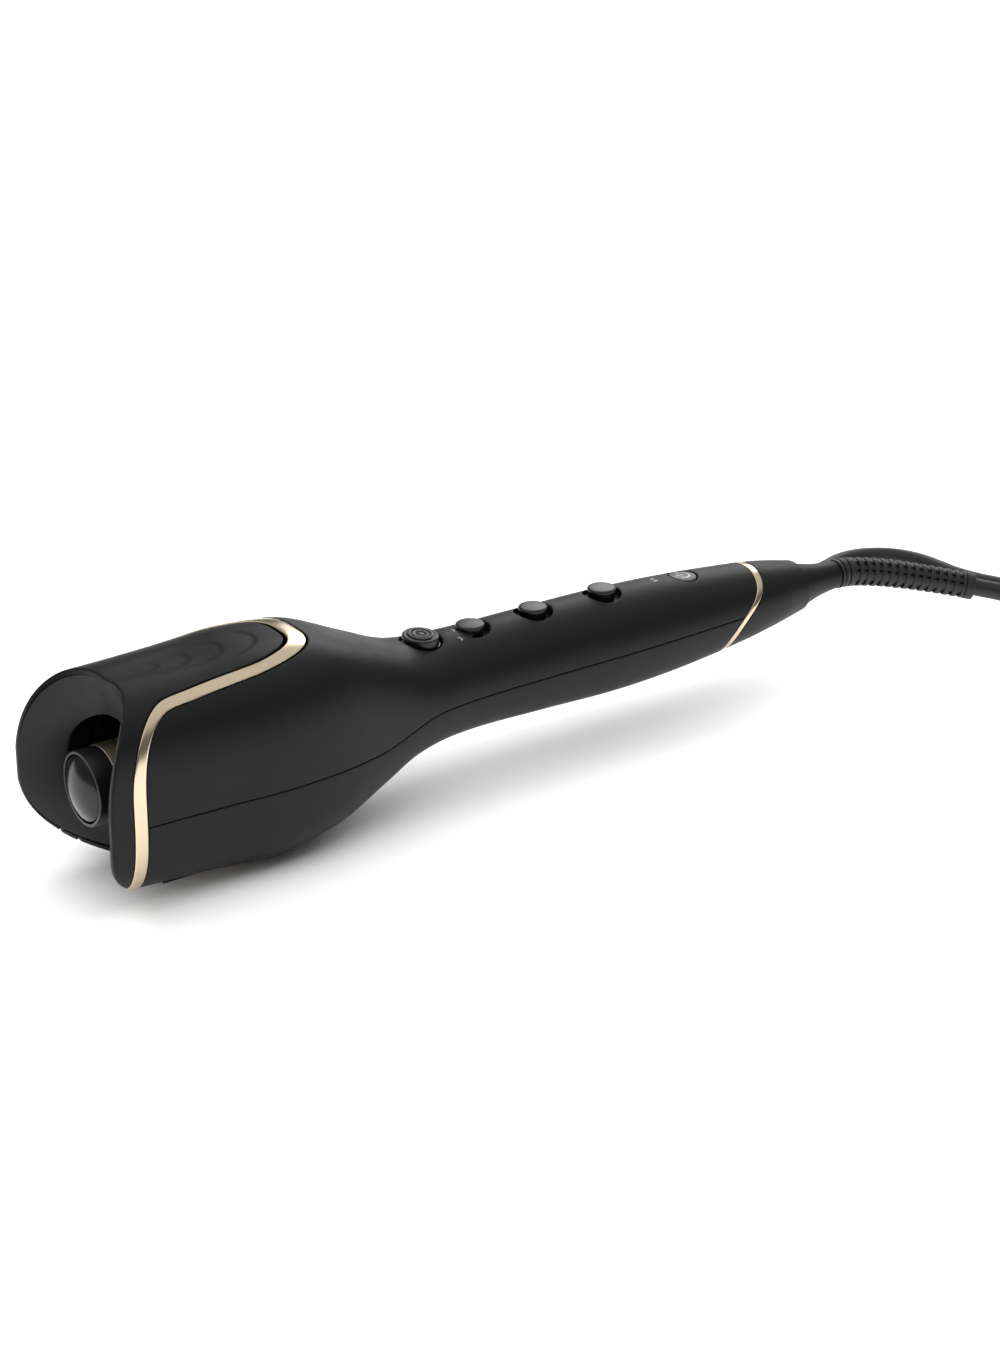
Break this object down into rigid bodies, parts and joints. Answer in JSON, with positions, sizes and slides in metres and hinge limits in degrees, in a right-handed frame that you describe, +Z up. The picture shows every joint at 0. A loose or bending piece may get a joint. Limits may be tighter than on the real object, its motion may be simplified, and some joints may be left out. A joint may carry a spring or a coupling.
{
  "type": "automatic hair curler",
  "caption": "Automatic hair curler with a flared hair chamber round a heated barrel, a turning hair hook, top controls, and a swivel mains cord with plug.",
  "frame": {"origin": "on the table, under the barrel axis, midway between the hood's front edge and the end of the strain relief", "axes": "+X from the head to the tail along the barrel axis, +Y to the far side, +Z up through the controls"},
  "size_m": [0.4684, 0.1751, 0.0807],
  "materials": {
    "shell_black": "fine matte",
    "bezel_grey": "matte",
    "chamber_black": "matte, heat resistant",
    "trim_gold": "satin champagne",
    "barrel_gold": "ceramic coated, satin champagne",
    "tip_black": "smooth, heat resistant",
    "dome_black": "gloss",
    "button_black": "fine matte",
    "lens_white": "translucent white",
    "aluminium": "as extruded",
    "ceramic": "film wrapped heater",
    "brass": "machined",
    "heat_base": "glass filled",
    "gear_white": "natural acetal",
    "steel": "drawn",
    "switch_dark": "moulded",
    "switch_cream": "moulded",
    "led_white": "clear",
    "board_green": "solder mask",
    "cord_black": "soft matte",
    "plug_black": "moulded",
    "nickel": "nickel plated"
  },
  "bodies": {
    "housing": {"hood_cover": "shell_black", "front_bezel": "bezel_grey", "chamber_liner": "chamber_black", "head_trim_strip": "trim_gold", "upper_shell": "shell_black", "lower_shell": "shell_black", "tail_trim_ring": "trim_gold", "tail_cap": "shell_black", "heated_barrel": "barrel_gold", "barrel_tip_sleeve": "tip_black", "tip_dome_cap": "dome_black", "heat_spreader_top": "aluminium", "heat_spreader_bottom": "aluminium", "ptc_heater": "ceramic", "thermal_fuse": "brass", "barrel_base": "heat_base", "gear_motor": "steel", "motor_bracket": "steel", "bracket_screws": "steel", "curl_spring": "steel", "curl_switch": "switch_dark", "direction_switch": "switch_cream", "temperature_switch": "switch_cream", "timer_switch": "switch_cream", "power_switch": "switch_dark", "led_lenses": "lens_white", "indicator_leds": "led_white", "control_deck": "shell_black", "chassis": "switch_dark", "control_board": "board_green", "board_screws": "steel", "shell_screws": "steel", "swivel_bush": "tip_black", "contact_fingers": "brass", "strain_relief": "cord_black", "cord_lead": "cord_black", "cord_coil": "cord_black", "cord_tail": "cord_black", "cord_tie": "cord_black", "plug_body": "plug_black", "plug_pins": "nickel"},
    "rotor": {"rotor": "chamber_black", "hair_hook": "chamber_black", "rotor_gear": "gear_white"},
    "motor_output": {"motor_pinion": "brass", "motor_shaft": "steel"},
    "curl_button": {"curl_button": "button_black"},
    "direction_slider": {"direction_slider": "button_black"},
    "temperature_slider": {"temperature_slider": "button_black"},
    "timer_slider": {"timer_slider": "button_black"},
    "power_button": {"power_button": "button_black"},
    "cord_swivel": {"swivel_cone": "shell_black", "slip_rings": "brass"}
  },
  "joints": [
    {"name": "rotor_spin", "type": "hinge", "parent": "housing", "child": "rotor", "pos_m": [-0.125, 0, 0.0395], "axis": [1, 0, 0], "continuous": true},
    {"name": "motor_spin", "type": "hinge", "parent": "housing", "child": "motor_output", "pos_m": [-0.1195, 0, 0.06362], "axis": [1, 0, 0], "continuous": true},
    {"name": "curl_press", "type": "slide", "parent": "housing", "child": "curl_button", "axis": [0, 0, -1], "range_m": [0, 0.0015], "stiffness_N_per_m": 900},
    {"name": "direction_slide", "type": "slide", "parent": "housing", "child": "direction_slider", "axis": [0, 1, 0], "range_m": [-0.0016, 0.0016]},
    {"name": "temperature_slide", "type": "slide", "parent": "housing", "child": "temperature_slider", "axis": [0, 1, 0], "range_m": [-0.0016, 0.0016]},
    {"name": "timer_slide", "type": "slide", "parent": "housing", "child": "timer_slider", "axis": [0, 1, 0], "range_m": [-0.0016, 0.0016]},
    {"name": "power_press", "type": "slide", "parent": "housing", "child": "power_button", "axis": [0, 0, -1], "range_m": [0, 0.0005], "stiffness_N_per_m": 3000},
    {"name": "cord_turn", "type": "hinge", "parent": "housing", "child": "cord_swivel", "pos_m": [0.126, 0, 0.0395], "axis": [1, 0, 0], "continuous": true}
  ],
  "couplings": [
    {"joint": "motor_spin", "follows": "rotor_spin", "ratio": -3.8}
  ]
}
